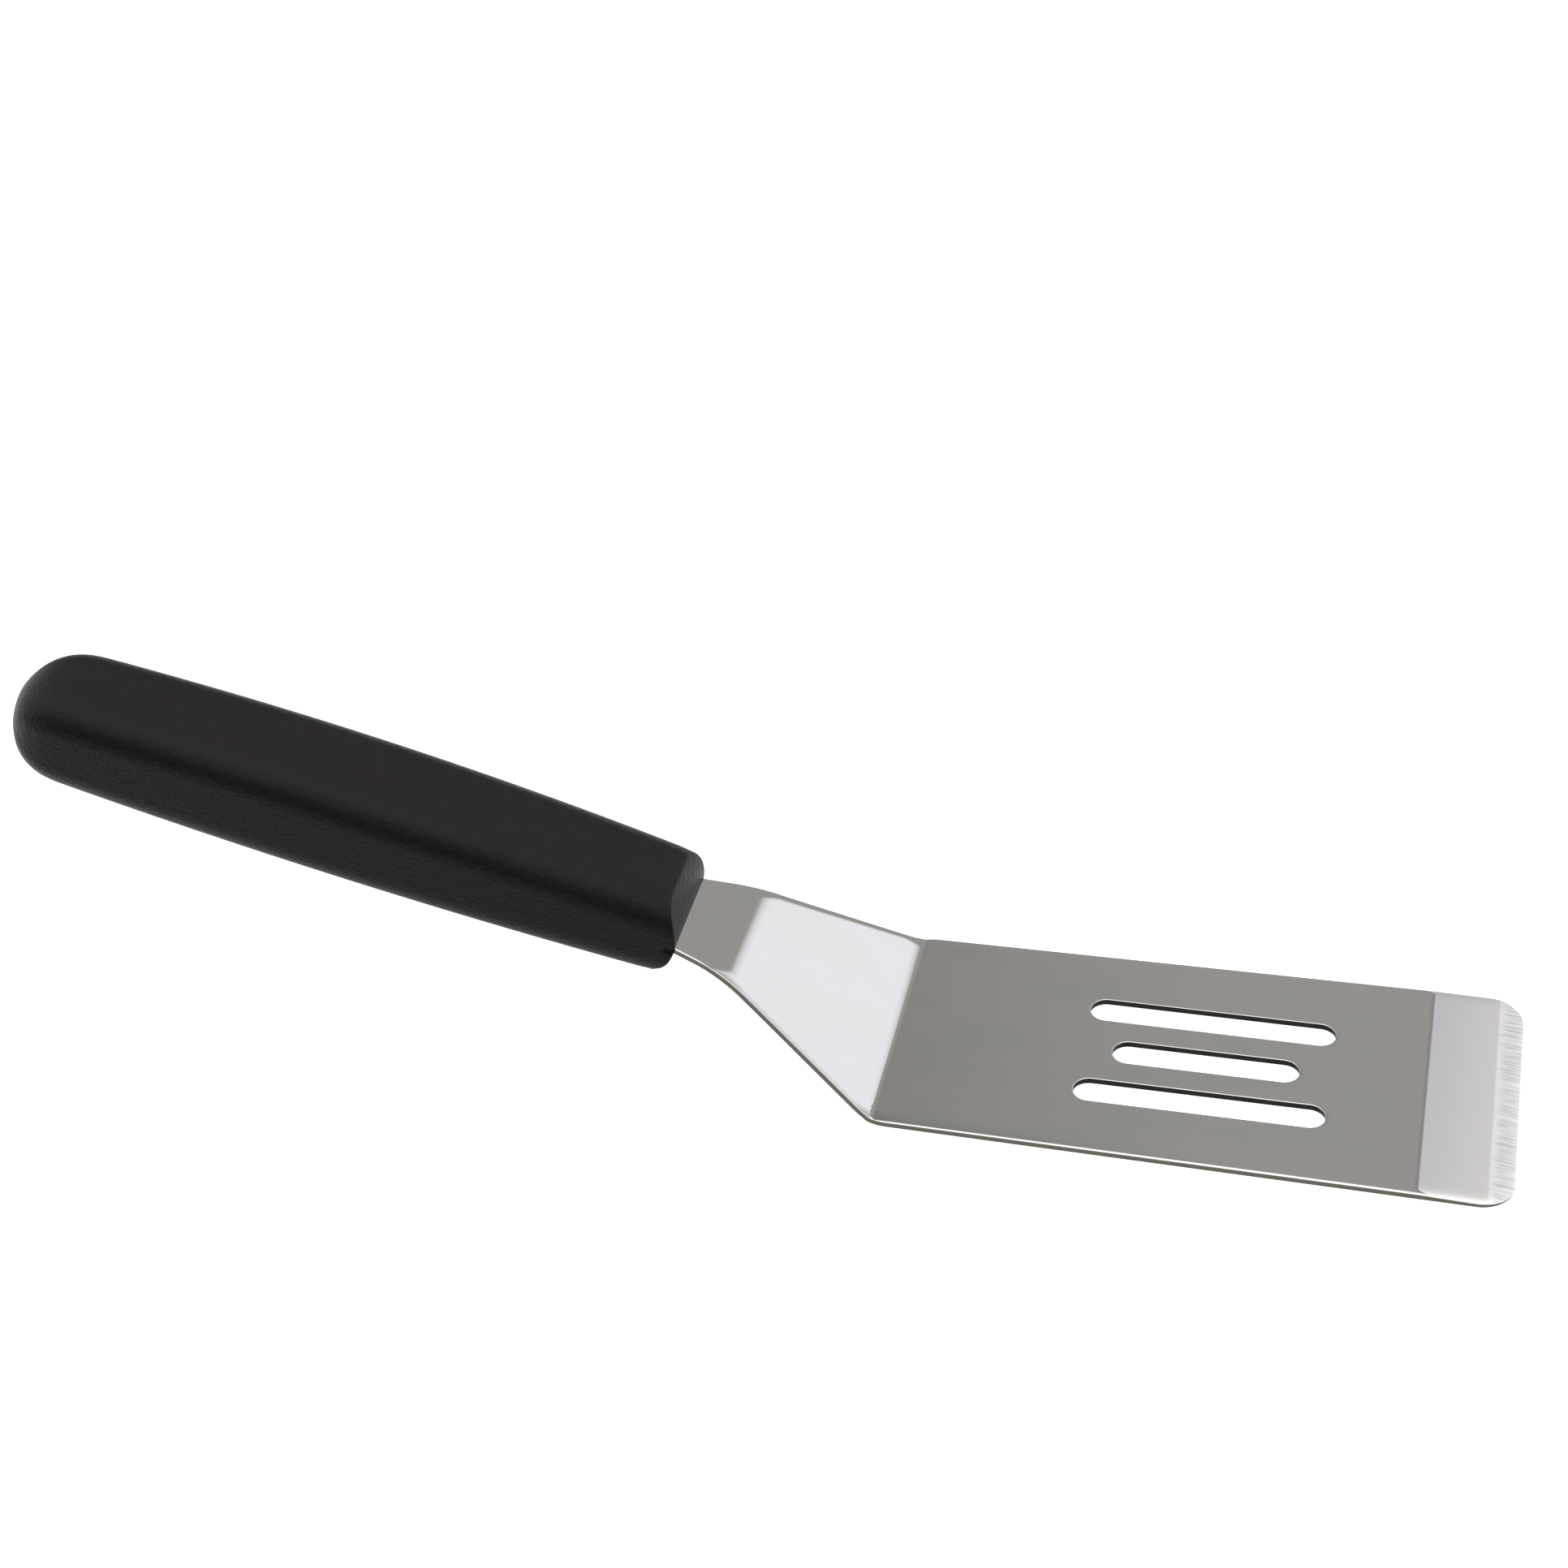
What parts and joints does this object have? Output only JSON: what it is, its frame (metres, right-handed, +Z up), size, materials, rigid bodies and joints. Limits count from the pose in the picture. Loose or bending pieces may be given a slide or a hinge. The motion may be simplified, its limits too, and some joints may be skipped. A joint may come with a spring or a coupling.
{
  "type": "offset spatula",
  "caption": "Slotted offset spatula: a flat polished steel blade with a bevelled front edge, a raised crank and a black moulded handle.",
  "frame": {"origin": "middle of the overall length and width, on the plane of the blade's flat underside", "axes": "+X along the blade towards its thin front edge, +Y across the blade to its left-hand side, +Z up"},
  "size_m": [0.2496, 0.0506, 0.0547],
  "materials": {
    "steel": "mirror-polished stainless sheet, with a brushed bevel at the front edge",
    "handle_plastic": "black moulded plastic with a fine leather grain"
  },
  "bodies": {
    "root": {"blade": "steel", "handle": "handle_plastic"}
  },
  "joints": []
}
